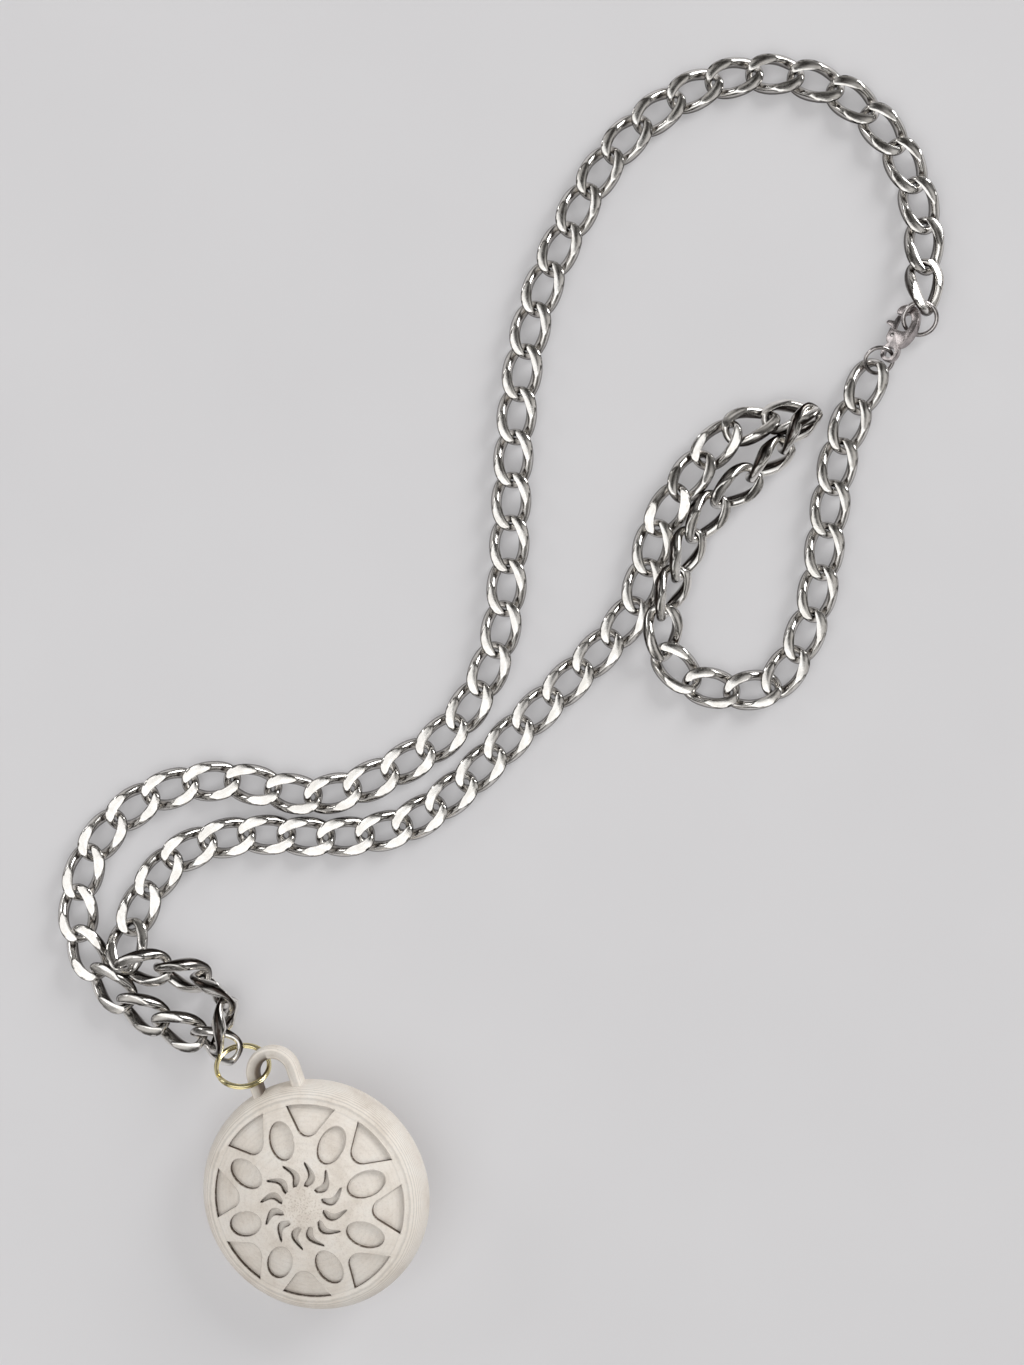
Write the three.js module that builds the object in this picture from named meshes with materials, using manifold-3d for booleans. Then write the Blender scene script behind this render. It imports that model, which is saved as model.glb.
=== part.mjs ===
import * as THREE from 'three';
import { mergeVertices } from 'three/addons/utils/BufferGeometryUtils.js';
import Module from 'manifold-3d';

// A pendant necklace lying on a table, in millimetres, +Z up, the table at z = 0.
// Driving sizes of the curb chain.
const LINK_HALF_LENGTH = 4.3; // centre of the link to the wire's centre at its end
const LINK_HALF_WIDTH = 2.32; // centre of the link to the wire's centre at its side
const LINK_TWIST = -1.12; // rise and fall of the wire as it goes round
const LINK_FLAT = 1.18; // half the thickness the links are ground down to
const WIRE_WIDE = 0.76; // half the wire's width, seen from above
const WIRE_HIGH = 0.62;
const SHOULDER_EXTRA = 0.18; // how much wider the wire gets where two links cross
const LINK_SIDES = 6;
const LINK_STEPS = 10;
const TABLE_GAP = 0.02;

// Driving sizes of the pendant, its loop and the rings.
const DISC_X = 0.35;
const DISC_Y = 1.45;
const DISC_RADIUS = 18.35;
const DISC_SEGMENTS = 40;
const DISC_HEIGHT = 6.46; // height of the disc's rim above the table
const DISC_TURN = 20.5; // degrees the face's pattern is turned
const DISC_TILT = 13.5; // degrees the disc leans over
const DISC_TILT_TOWARD = 204; // compass of the lean, degrees from +X
const POCKET_DEPTH = 0.7;
const SHOULDER_RADIUS = 15.6; // where the dome ends and the rounded rim begins
const SHOULDER_Z = 4.0;
const DOME_RADIUS = 35;
const BACK_FLAT_RADIUS = 7.5;
const BACK_FLAT_Z = -4.4;
const BACK_CURVE = 0.034;
const OVAL_CENTRE = 10.5;
const OVAL_HALF_LENGTH = 2.95;
const OVAL_HALF_WIDTH = 2.0;
const FAN_OUTER = 15.35;
const FAN_INNER = 10.8;
const FAN_HALF_ANGLE = 15;
const RAY_INNER = 3.2;
const RAY_OUTER = 7.0;
const RAY_HALF_WIDTH = 0.42;
const RAY_SWAY = 9; // degrees
const BAIL_MEAN_RADIUS = 3.35;
const BAIL_CENTRE = 20.4;
const BAIL_RISE = 1; // the loop's height above the disc's widest line
const BAIL_TURN = -2.5; // degrees the loop is turned from the pattern
const BAIL_HALF_THICK = 1.05;
const BAIL_HALF_DEPTH = 1.4;

// The two strands from the clasp to the pendant. Each row is one joint between
// two links: its number, x, y, the roll of the links about the chain in
// degrees and how far they are lifted. Joint 0 is at the clasp.
const STRAND_A = [
  [0, 96.63, 141.57, 35, 1.15],
  [1, 96.8, 148.23, 11, 0.29],
  [2, 96.9, 154.9, 0, 0],
  [4, 92.6, 167.5, 0, 0],
  [6, 82.9, 176.7, 0, 0],
  [8, 69.8, 179.2, 0, 0],
  [10, 57.3, 175.1, 0, 0],
  [12, 47.1, 166.2, 0, 0],
  [14, 40.2, 154.3, 0, 0],
  [16, 34.9, 141.6, 0, 0],
  [18, 32.3, 128.0, 0, 0],
  [20, 31.2, 114.3, 0, 0],
  [22, 30.6, 100.6, 0, 0],
  [24, 28.8, 87.1, 0, 0],
  [26, 22.5, 75.3, 0, 0],
  [28, 11.8, 67.7, 0, 0],
  [30, -0.5, 63.6, 0, 0],
  [32, -13.4, 66.5, 0, 0],
  [34, -26.4, 64.0, 0, 0],
  [36, -36.0, 55.0, 0, 0],
  [38, -37.9, 41.9, 0, 0],
  [40, -30.3, 31.2, 30, 0],
  [42, -18.75, 25.67, 22.6, 0.85],
];

const STRAND_B = [
  [0, 89.0, 132.3, 0, 0],
  [2, 83.7, 119.8, 0, 0],
  [4, 81.4, 106.3, 0, 0],
  [6, 79.2, 92.9, 0, 0],
  [8, 72.9, 81.2, 0, 0],
  [9, 66.2, 80.4, 0, 0],
  [10, 59.7, 81.9, 0, 0],
  [11, 55.2, 86.7, 0, 0],
  [12, 55.2, 93.2, 35, 0],
  [13, 57.4, 99.1, 51, 0.02],
  [14, 59.9, 105.4, 30, 0.03],
  [15, 63.9, 110.9, 31, 0.04],
  [16, 69.5, 114.9, 35, 0.22],
  [17, 74.5, 119.5, 80, 0.05],
  [18, 78.7, 124.8, 59, 1.24],
  [19, 72.2, 123.8, 30, 0.8],
  [20, 66.1, 122.1, 20, 1.22],
  [21, 61.6, 117.6, 0, 0.9],
  [22, 57.7, 112.2, 0, 1.54],
  [23, 54.3, 106.5, 0, 0],
  [25, 51.1, 94.1, 0, 0],
  [27, 42.5, 84.3, 0, 0],
  [29, 32.9, 75.2, 0, 0],
  [31, 24.0, 66.1, 0, 0],
  [33, 13.8, 59.0, 0, 0],
  [35, 1.5, 57.2, 0, 0],
  [37, -11.1, 57.8, 0, 0],
  [39, -23.0, 54.0, 0, 0],
  [41, -29.5, 43.1, 0, 0],
  [42, -30.59, 37.12, -6.4, 2.12],
  [43, -24.26, 36.61, 68.6, 0.03],
  [44, -18.2, 34.92, 15.7, 0.05],
  [45, -13.76, 31.03, 146.7, 1.93],
  [46, -15.49, 24.5, 50.5, 1.88],
];

// Where strand B folds back on itself: first link of the fold and its links.
const FOLDS_B = { 16: 3, 43: 3 };

// The link that joins both strands to the pendant: its two ends and its roll.
const CENTRE_LINK = { from: [-18.21, 25.74, 2.5], to: [-13.21, 23.76, 4.43], roll: 34.2 };

// Rings of round wire: centre, radius to the wire's centre, radius of the
// wire, and how far each is tipped about X and then about Y.
const SPLIT_RING = {
  x: -11.23, y: 21.57, z: 6.51, mean: 4.15, wire: 0.4, tipX: -47.4, tipY: -0.3,
};
const CATCH_RING = {
  x: 96.13, y: 139.93, z: 2.46, mean: 2.65, wire: 0.36, tipX: 19.48, tipY: 0.09,
};
const CLASP_RING = {
  x: 89.69, y: 133.31, z: 1.89, mean: 2.25, wire: 0.33, tipX: 31.4, tipY: 3.9,
};

// Driving sizes of the lobster clasp, long along X from its eye.
const CLASP = { x: 91.4, y: 134.41, z: 2.48, turn: 62.29, tip: 3.63, roll: -35.25 };
const CLASP_THICK = 1.7;
const EYE_THICK = 0.9;
const CLAW_THICK = 1.2;
const EYE_RADIUS = 1.5;
const EYE_HOLE = 0.9;
const PIN_RADIUS = 0.3;
const PIN_X = 2.75;
const PIN_Y = 0.75;
const SLOT_THICK = 0.8;
const MOVING_GAP = 0.12;

const STEEL = { color: 0xd2cfca, roughness: 0.2, metalness: 1 };
const BRASS = { color: 0xd9c27c, roughness: 0.24, metalness: 1 };
const CREAM = { color: 0xd6c8b6, roughness: 0.62, metalness: 0 };

const wasm = await Module();
wasm.setup();

function radians(degrees) {
  return degrees * Math.PI / 180;
}

function solidOf(geometry) {
  const bare = geometry.clone();
  bare.deleteAttribute('normal');
  bare.deleteAttribute('uv');
  const welded = mergeVertices(bare, 1e-4);
  const vertProperties = new Float32Array(welded.attributes.position.array);
  const triVerts = new Uint32Array(welded.index.array);
  const mesh = new wasm.Mesh({ numProp: 3, vertProperties, triVerts });
  return new wasm.Manifold(mesh);
}

function geometryOf(solid) {
  const mesh = solid.getMesh();
  const geometry = new THREE.BufferGeometry();
  const places = new Float32Array(mesh.vertProperties);
  geometry.setAttribute('position', new THREE.BufferAttribute(places, 3));
  geometry.setIndex(new THREE.BufferAttribute(new Uint32Array(mesh.triVerts), 1));
  geometry.computeVertexNormals();
  return geometry;
}

// A closed skin over rings of points. Every ring has the same number of
// points; looped joins the last ring to the first, otherwise both ends are capped.
function skin(rings, looped) {
  const places = [];
  const faces = [];
  const sides = rings[0].length;
  for (const ring of rings) {
    for (const p of ring) {
      places.push(p.x, p.y, p.z);
    }
  }
  const spans = looped ? rings.length : rings.length - 1;
  for (let i = 0; i < spans; i++) {
    const here = i * sides;
    const next = ((i + 1) % rings.length) * sides;
    for (let j = 0; j < sides; j++) {
      const k = (j + 1) % sides;
      faces.push(here + j, next + k, here + k);
      faces.push(here + j, next + j, next + k);
    }
  }
  if (!looped) {
    const last = (rings.length - 1) * sides;
    for (let j = 1; j < sides - 1; j++) {
      faces.push(0, j, j + 1);
      faces.push(last, last + j + 1, last + j);
    }
  }
  const geometry = new THREE.BufferGeometry();
  geometry.setAttribute('position', new THREE.Float32BufferAttribute(places, 3));
  geometry.setIndex(faces);
  return geometry;
}

// One curb link, long along X and flat in XY. The wire goes round an oval
// and twists up and down, and both faces are ground flat.
function linkGeometry() {
  const rings = [];
  for (let i = 0; i < LINK_STEPS; i++) {
    const t = i / LINK_STEPS * 2 * Math.PI;
    const centre = new THREE.Vector3(
      LINK_HALF_LENGTH * Math.cos(t),
      LINK_HALF_WIDTH * Math.sin(t),
      LINK_TWIST * Math.sin(2 * t),
    );
    const along = new THREE.Vector3(
      -LINK_HALF_LENGTH * Math.sin(t),
      LINK_HALF_WIDTH * Math.cos(t),
      2 * LINK_TWIST * Math.cos(2 * t),
    ).normalize();
    const out = new THREE.Vector3(
      LINK_HALF_WIDTH * Math.cos(t),
      LINK_HALF_LENGTH * Math.sin(t),
      0,
    ).normalize();
    const up = out.clone().cross(along);
    const wide = WIRE_WIDE + SHOULDER_EXTRA * Math.sin(2 * t) ** 2;
    const ring = [];
    for (let j = 0; j < LINK_SIDES; j++) {
      const angle = j / LINK_SIDES * 2 * Math.PI;
      const p = centre.clone();
      p.addScaledVector(out, wide * Math.cos(angle));
      p.addScaledVector(up, WIRE_HIGH * Math.sin(angle));
      p.z = Math.max(-LINK_FLAT, Math.min(LINK_FLAT, p.z));
      ring.push(p);
    }
    rings.push(ring);
  }
  return skin(rings, true);
}

const plainLink = linkGeometry();

// How high a link's centre sits when its lowest corner just clears the table.
function restHeight(roll) {
  const places = plainLink.attributes.position;
  const sine = Math.sin(radians(roll));
  const cosine = Math.cos(radians(roll));
  let low = 0;
  for (let i = 0; i < places.count; i++) {
    low = Math.min(low, places.getY(i) * sine + places.getZ(i) * cosine);
  }
  return TABLE_GAP - low;
}

// All the joints of a strand. Joints between two rows lie on a smooth curve.
function jointsAlong(rows) {
  const curve = new THREE.CatmullRomCurve3(
    rows.map((r) => new THREE.Vector3(r[1], r[2], 0)), false, 'centripetal');
  const joints = [];
  for (let row = 0; row + 1 < rows.length; row++) {
    const here = rows[row];
    const next = rows[row + 1];
    const steps = next[0] - here[0];
    for (let i = 0; i < steps || (i === steps && row + 2 === rows.length); i++) {
      const part = i / steps;
      const p = curve.getPoint((row + part) / (rows.length - 1));
      const roll = here[3] + (next[3] - here[3]) * part;
      const lift = here[4] + (next[4] - here[4]) * part;
      joints.push({ x: p.x, y: p.y, z: restHeight(roll) + lift, roll });
    }
  }
  return joints;
}

// Lifts a placed link that would dip into the table until it just clears it.
function clearOfTable(place) {
  const box = new THREE.Box3().setFromBufferAttribute(placedLink(place).attributes.position);
  const up = Math.max(0, TABLE_GAP - box.min.z);
  return new THREE.Matrix4().makeTranslation(0, 0, up).multiply(place);
}

// Moves something drawn along +X so that it runs from a towards b, rolled.
function alongMatrix(a, b, roll) {
  const from = new THREE.Vector3(a.x, a.y, a.z);
  const to = new THREE.Vector3(b.x, b.y, b.z);
  const way = to.clone().sub(from).normalize();
  const left = new THREE.Vector3(0, 0, 1).cross(way).normalize();
  const up = way.clone().cross(left);
  const turned = new THREE.Matrix4().makeBasis(way, left, up);
  const middle = from.add(to).multiplyScalar(0.5);
  const moved = new THREE.Matrix4().makeTranslation(middle.x, middle.y, middle.z);
  return moved.multiply(turned).multiply(new THREE.Matrix4().makeRotationX(radians(roll)));
}

// The places of a strand's links, first to last.
function linkPlaces(rows) {
  const joints = jointsAlong(rows);
  const places = [];
  for (let i = 0; i + 1 < joints.length; i++) {
    const roll = (joints[i].roll + joints[i + 1].roll) / 2;
    places.push(clearOfTable(alongMatrix(joints[i], joints[i + 1], roll)));
  }
  return places;
}

function placedLink(place) {
  return plainLink.clone().applyMatrix4(place);
}

function centreLink() {
  const a = new THREE.Vector3(...CENTRE_LINK.from);
  const b = new THREE.Vector3(...CENTRE_LINK.to);
  return placedLink(alongMatrix(a, b, CENTRE_LINK.roll));
}

// The hidden bead that joins the facing ends of two neighbouring links.
function bead(first, second) {
  const reach = LINK_HALF_LENGTH;
  const a = new THREE.Vector3(reach, 0, 0).applyMatrix4(first);
  const b = new THREE.Vector3(-reach, 0, 0).applyMatrix4(second);
  const way = b.clone().sub(a);
  const geometry = new THREE.CylinderGeometry(0.3, 0.3, way.length(), 5);
  const turn = new THREE.Quaternion();
  turn.setFromUnitVectors(new THREE.Vector3(0, 1, 0), way.clone().normalize());
  geometry.applyQuaternion(turn);
  const middle = a.add(b).multiplyScalar(0.5);
  return geometry.translate(middle.x, middle.y, middle.z);
}

// A few neighbouring links joined into one solid.
function linkRun(places) {
  let solid = solidOf(placedLink(places[0]));
  for (let i = 1; i < places.length; i++) {
    solid = solid.add(solidOf(placedLink(places[i])));
    solid = solid.add(solidOf(bead(places[i - 1], places[i])));
  }
  return geometryOf(solid);
}

// Everything is shifted by this so that the frame's origin is under the middle.
const FRAME_SHIFT = [-29.464, -82.643, -TABLE_GAP];

const group = new THREE.Group();

function addPart(name, geometry, look) {
  const material = new THREE.MeshStandardMaterial({ ...look });
  material.name = name + '_material';
  geometry.translate(...FRAME_SHIFT);
  const mesh = new THREE.Mesh(geometry, material);
  mesh.name = name;
  group.add(mesh);
}

// Adds a strand as runs of two links, or more where folds asks for it.
function addStrand(name, rows, folds) {
  const places = linkPlaces(rows);
  let first = 0;
  for (let run = 1; first < places.length; run++) {
    const count = folds[first] ?? 2;
    const number = String(run).padStart(2, '0');
    const links = places.slice(first, first + count);
    addPart(name + '_links_' + number, linkRun(links), STEEL);
    first += count;
  }
}

// A ring of round wire in the XY plane, then tipped about X and about Y.
function ringGeometry(ring, sides, steps) {
  const geometry = new THREE.TorusGeometry(ring.mean, ring.wire, sides, steps);
  geometry.rotateX(radians(ring.tipX));
  geometry.rotateY(radians(ring.tipY));
  return geometry.translate(ring.x, ring.y, ring.z);
}

// The printed disc: domed on both faces, with a small flat on its back.
function discGeometry() {
  const profile = [];
  const add = (r, z) => profile.push(new THREE.Vector2(r, z));
  add(0, BACK_FLAT_Z);
  add(BACK_FLAT_RADIUS, BACK_FLAT_Z);
  for (const r of [11, 14.8]) {
    add(r, BACK_FLAT_Z + (r - BACK_FLAT_RADIUS) ** 2 * BACK_CURVE);
  }
  const low = BACK_FLAT_Z + (14.8 - BACK_FLAT_RADIUS) ** 2 * BACK_CURVE;
  for (const angle of [-58, -25, 0, 25, 58]) {
    const r = SHOULDER_RADIUS + (DISC_RADIUS - SHOULDER_RADIUS) * Math.cos(radians(angle));
    const half = angle < 0 ? -low : SHOULDER_Z;
    add(r, half * Math.sin(radians(angle)));
  }
  for (const r of [14.2, 11, 7.5, 4]) {
    add(r, faceHeight(r));
  }
  add(0, faceHeight(0));
  return new THREE.LatheGeometry(profile, DISC_SEGMENTS).rotateX(Math.PI / 2);
}

// Height of the domed front face at a distance from its middle.
function faceHeight(r) {
  const edge = Math.sqrt(DOME_RADIUS ** 2 - SHOULDER_RADIUS ** 2);
  return SHOULDER_Z + Math.sqrt(DOME_RADIUS ** 2 - r ** 2) - edge;
}

// The outline of one oval pocket, centred on the +Y spoke.
function ovalOutline() {
  const points = [];
  for (let i = 0; i < 12; i++) {
    const t = i / 12 * 2 * Math.PI;
    points.push([OVAL_HALF_WIDTH * Math.cos(t), OVAL_CENTRE + OVAL_HALF_LENGTH * Math.sin(t)]);
  }
  return points;
}

// The outline of one fan pocket: an arc outside and a blunt corner inside.
function fanOutline() {
  const points = [];
  for (let i = 0; i <= 4; i++) {
    const angle = radians(90 - FAN_HALF_ANGLE + i / 4 * 2 * FAN_HALF_ANGLE);
    points.push([FAN_OUTER * Math.cos(angle), FAN_OUTER * Math.sin(angle)]);
  }
  for (const angle of [215, 270, 325]) {
    const t = radians(angle);
    points.push([0.75 * Math.cos(t), FAN_INNER + 0.75 * Math.sin(t) + 0.75]);
  }
  return points;
}

// The outline of one flame-shaped ray: a pointed bar that sways twice.
function rayOutline() {
  const left = [];
  const right = [];
  for (let i = 0; i <= 4; i++) {
    const part = i / 4;
    const r = RAY_INNER + (RAY_OUTER - RAY_INNER) * part;
    const sway = radians(-RAY_SWAY) * Math.sin(part * Math.PI * 1.35);
    const half = RAY_HALF_WIDTH * Math.sqrt(1 - part ** 2) + 0.06;
    const x = -r * Math.sin(sway);
    const y = r * Math.cos(sway);
    left.push([x - half, y]);
    right.push([x + half, y]);
  }
  return right.concat(left.reverse());
}

// A prism from an outline on the +Y spoke. Its floor follows the dome under the
// outline's middle, and the whole is turned to its place round the disc.
function pocketCutter(outline, middle, degrees, depth) {
  const shape = new THREE.Shape(outline.map((p) => new THREE.Vector2(p[0], p[1] - middle)));
  const prism = new THREE.ExtrudeGeometry(shape, { depth: 4, bevelEnabled: false });
  prism.rotateX(-Math.asin(middle / DOME_RADIUS));
  prism.translate(0, middle, faceHeight(middle) - depth);
  return prism.rotateZ(radians(degrees));
}

// The loop on the disc's edge: an arch of flattened bar with its legs in the rim.
function bailGeometry() {
  const rings = [];
  const steps = 12;
  const foot = DISC_RADIUS - 1.9;
  const spine = [[BAIL_MEAN_RADIUS, foot], [BAIL_MEAN_RADIUS, foot + 2.4]];
  for (let i = 0; i <= steps; i++) {
    const t = i / steps * Math.PI;
    spine.push([BAIL_MEAN_RADIUS * Math.cos(t), BAIL_CENTRE + BAIL_MEAN_RADIUS * Math.sin(t)]);
  }
  spine.push([-BAIL_MEAN_RADIUS, foot + 2.4]);
  spine.push([-BAIL_MEAN_RADIUS, foot]);
  for (let i = 0; i < spine.length; i++) {
    const before = spine[Math.max(0, i - 1)];
    const after = spine[Math.min(spine.length - 1, i + 1)];
    const angle = Math.atan2(after[1] - before[1], after[0] - before[0]) - Math.PI / 2;
    const ring = [];
    for (let j = 0; j < 10; j++) {
      const t = j / 10 * 2 * Math.PI;
      const out = BAIL_HALF_THICK * Math.cos(t);
      const x = spine[i][0] + out * Math.cos(angle);
      const y = spine[i][1] + out * Math.sin(angle);
      ring.push(new THREE.Vector3(x, y, BAIL_HALF_DEPTH * Math.sin(t)));
    }
    rings.push(ring);
  }
  return skin(rings, false);
}

// The disc and its loop as the single printed piece they are, drawn flat.
function pendantSolid() {
  const bail = bailGeometry().translate(0, 0, BAIL_RISE).rotateZ(radians(BAIL_TURN));
  let solid = solidOf(discGeometry()).add(solidOf(bail));
  const cut = (outline, middle, degrees, depth) => {
    solid = solid.subtract(solidOf(pocketCutter(outline, middle, degrees, depth)));
  };
  for (let i = 0; i < 8; i++) {
    cut(ovalOutline(), OVAL_CENTRE, i * 45, POCKET_DEPTH);
    cut(fanOutline(), FAN_INNER + 2.4, i * 45 + 22.5, POCKET_DEPTH);
  }
  for (let i = 0; i < 12; i++) {
    cut(rayOutline(), (RAY_INNER + RAY_OUTER) / 2, i * 30, POCKET_DEPTH * 0.8);
  }
  return solid;
}

// Where the flat-drawn pendant lies: turned, leant over and lifted.
function pendantMatrix() {
  const toward = radians(DISC_TILT_TOWARD);
  const hinge = new THREE.Vector3(-Math.sin(toward), Math.cos(toward), 0);
  const lean = new THREE.Matrix4().makeRotationAxis(hinge, radians(DISC_TILT));
  const turn = new THREE.Matrix4().makeRotationZ(radians(DISC_TURN));
  const move = new THREE.Matrix4().makeTranslation(DISC_X, DISC_Y, DISC_HEIGHT);
  return move.multiply(lean).multiply(turn);
}

function pendantGeometry() {
  return geometryOf(pendantSolid()).applyMatrix4(pendantMatrix());
}

// A flat plate cut from an outline, its middle at z = 0.
function plate(shape, thick) {
  const geometry = new THREE.ExtrudeGeometry(shape, {
    depth: thick,
    bevelEnabled: false,
    curveSegments: 5,
  });
  return geometry.translate(0, 0, -thick / 2);
}

function claspMatrix() {
  const turn = new THREE.Matrix4().makeRotationZ(radians(CLASP.turn));
  const tip = new THREE.Matrix4().makeRotationY(radians(CLASP.tip));
  const roll = new THREE.Matrix4().makeRotationX(radians(CLASP.roll));
  const move = new THREE.Matrix4().makeTranslation(CLASP.x, CLASP.y, CLASP.z);
  return move.multiply(turn).multiply(tip).multiply(roll);
}

function inClasp(geometry) {
  return geometry.applyMatrix4(claspMatrix());
}

// The clasp's body: eye, shoulders and the hook that curls over to its tip.
function claspBody() {
  const shape = new THREE.Shape();
  shape.moveTo(-EYE_RADIUS, 0);
  shape.quadraticCurveTo(-EYE_RADIUS, -EYE_RADIUS, 0, -EYE_RADIUS);
  shape.quadraticCurveTo(0.8, -EYE_RADIUS, 1.3, -1.1);
  shape.quadraticCurveTo(2.2, -2.2, 4.4, -2.35);
  shape.quadraticCurveTo(7.0, -2.4, 8.2, -0.9);
  shape.quadraticCurveTo(8.9, 0.6, 7.7, 1.9);
  shape.quadraticCurveTo(7.0, 2.4, 6.4, 2.0);
  shape.lineTo(6.4, 1.0);
  shape.quadraticCurveTo(7.2, 0.6, 6.9, -0.3);
  shape.quadraticCurveTo(6.2, -1.3, 4.6, -1.25);
  shape.quadraticCurveTo(3.9, -1.2, 3.75, -0.5);
  shape.lineTo(3.75, 1.75);
  shape.quadraticCurveTo(3.2, 1.75, 2.4, 1.7);
  shape.quadraticCurveTo(1.6, 1.5, 1.3, 1.1);
  shape.quadraticCurveTo(0.8, EYE_RADIUS, 0, EYE_RADIUS);
  shape.quadraticCurveTo(-EYE_RADIUS, EYE_RADIUS, -EYE_RADIUS, 0);
  let solid = solidOf(plate(shape, CLASP_THICK));
  for (const side of [-1, 1]) {
    const overEye = new THREE.BoxGeometry(3.6, 4, 2);
    solid = solid.subtract(solidOf(overEye.translate(-0.8, 0, side * (1 + EYE_THICK / 2))));
    const overClaw = new THREE.BoxGeometry(6, 6, 2).rotateY(side * 0.09);
    overClaw.translate(7.4, -2.2, side * (1 + CLAW_THICK / 2 + 0.05));
    solid = solid.subtract(solidOf(overClaw));
  }
  const eye = new THREE.CylinderGeometry(EYE_HOLE, EYE_HOLE, 4, 12).rotateX(Math.PI / 2);
  solid = solid.subtract(solidOf(eye));
  const slot = new THREE.BoxGeometry(3.2, 3.2, SLOT_THICK).translate(3.3, 1.55, 0);
  solid = solid.subtract(solidOf(slot));
  const bore = new THREE.CylinderGeometry(PIN_RADIUS + MOVING_GAP / 2, PIN_RADIUS + MOVING_GAP / 2, 4, 10);
  bore.rotateX(Math.PI / 2).translate(PIN_X, PIN_Y, 0);
  return inClasp(geometryOf(solid.subtract(solidOf(bore))));
}

// The lever that closes the hook's mouth, with its thumb tab.
function claspLever() {
  const shape = new THREE.Shape();
  shape.moveTo(2.15, 0.7);
  shape.quadraticCurveTo(2.2, 0.15, 2.8, 0.15);
  shape.lineTo(3.3, 0.4);
  shape.lineTo(4.3, 1.15);
  shape.lineTo(6.25, 1.15);
  shape.lineTo(6.25, 1.85);
  shape.lineTo(5.2, 1.95);
  shape.lineTo(4.95, 3.1);
  shape.lineTo(4.45, 3.15);
  shape.lineTo(4.1, 2.0);
  shape.quadraticCurveTo(2.4, 1.9, 2.15, 0.7);
  const thick = SLOT_THICK - 2 * MOVING_GAP;
  const solid = solidOf(plate(shape, thick));
  const bore = new THREE.CylinderGeometry(PIN_RADIUS + MOVING_GAP / 2, PIN_RADIUS + MOVING_GAP / 2, 4, 10);
  bore.rotateX(Math.PI / 2).translate(PIN_X, PIN_Y, 0);
  return inClasp(geometryOf(solid.subtract(solidOf(bore))));
}

function claspPin() {
  const pin = new THREE.CylinderGeometry(PIN_RADIUS, PIN_RADIUS, CLASP_THICK - 0.1, 10);
  return inClasp(pin.rotateX(Math.PI / 2).translate(PIN_X, PIN_Y, 0));
}

addStrand('strand_a', STRAND_A, {});
addStrand('strand_b', STRAND_B, FOLDS_B);
addPart('centre_link', centreLink(), STEEL);
addPart('split_ring', ringGeometry(SPLIT_RING, 8, 36), BRASS);
addPart('pendant', pendantGeometry(), CREAM);
addPart('clasp_ring', ringGeometry(CLASP_RING, 6, 24), STEEL);
addPart('catch_ring', ringGeometry(CATCH_RING, 6, 24), STEEL);
addPart('clasp_body', claspBody(), STEEL);
addPart('clasp_lever', claspLever(), STEEL);
addPart('clasp_pin', claspPin(), STEEL);

export default group;
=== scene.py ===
"""The looks of a pendant necklace laid on a table: two strands of ground curb chain,
a printed medallion on a split ring, and a lobster clasp."""
import math

import bmesh
import bpy
from mathutils import Matrix, Vector
from mathutils.geometry import delaunay_2d_cdt


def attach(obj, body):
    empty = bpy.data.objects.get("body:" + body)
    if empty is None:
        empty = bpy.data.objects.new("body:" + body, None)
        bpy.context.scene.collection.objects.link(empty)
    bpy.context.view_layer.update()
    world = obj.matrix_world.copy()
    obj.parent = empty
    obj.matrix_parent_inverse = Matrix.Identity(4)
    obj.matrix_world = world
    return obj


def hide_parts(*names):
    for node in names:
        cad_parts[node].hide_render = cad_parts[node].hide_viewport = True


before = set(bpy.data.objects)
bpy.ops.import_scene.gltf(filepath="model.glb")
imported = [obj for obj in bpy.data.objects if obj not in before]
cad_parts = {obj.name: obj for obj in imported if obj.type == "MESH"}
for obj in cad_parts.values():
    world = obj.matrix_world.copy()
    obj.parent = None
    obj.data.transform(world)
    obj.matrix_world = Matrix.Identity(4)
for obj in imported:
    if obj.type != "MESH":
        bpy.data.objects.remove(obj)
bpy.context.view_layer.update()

MM = 0.001

# The camera looks straight down at the middle of the necklace.
CAMERA_AIM = (1.74, -0.64)
CAMERA_HEIGHT = 430.0
VIEW_TALL = 218.4
SENSOR = 36.0


def make_camera():
    data = bpy.data.cameras.new("camera")
    data.sensor_width = SENSOR
    data.lens = SENSOR * CAMERA_HEIGHT / VIEW_TALL
    data.clip_start = 0.01
    camera = bpy.data.objects.new("camera", data)
    camera.location = Vector((*CAMERA_AIM, CAMERA_HEIGHT)) * MM
    bpy.context.scene.collection.objects.link(camera)
    bpy.context.scene.camera = camera


make_camera()

# ---------------------------------------------------------------------------
# The chain. Each row is a joint's number, its place on the table, how far the
# chain is rolled there and how far it is lifted, as in the CAD part.

TABLE_GAP = 0.02
FRAME_SHIFT = Vector((-29.464, -82.643, -TABLE_GAP))

STRAND_A = [
    (0, 96.63, 141.57, 35, 1.15), (1, 96.8, 148.23, 11, 0.29), (2, 96.9, 154.9, 0, 0),
    (4, 92.6, 167.5, 0, 0), (6, 82.9, 176.7, 0, 0), (8, 69.8, 179.2, 0, 0),
    (10, 57.3, 175.1, 0, 0), (12, 47.1, 166.2, 0, 0), (14, 40.2, 154.3, 0, 0),
    (16, 34.9, 141.6, 0, 0), (18, 32.3, 128.0, 0, 0), (20, 31.2, 114.3, 0, 0),
    (22, 30.6, 100.6, 0, 0), (24, 28.8, 87.1, 0, 0), (26, 22.5, 75.3, 0, 0),
    (28, 11.8, 67.7, 0, 0), (30, -0.5, 63.6, 0, 0), (32, -13.4, 66.5, 0, 0),
    (34, -26.4, 64.0, 0, 0), (36, -36.0, 55.0, 0, 0), (38, -37.9, 41.9, 0, 0),
    (40, -30.3, 31.2, 30, 0), (42, -18.75, 25.67, 22.6, 0.85),
]

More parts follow.
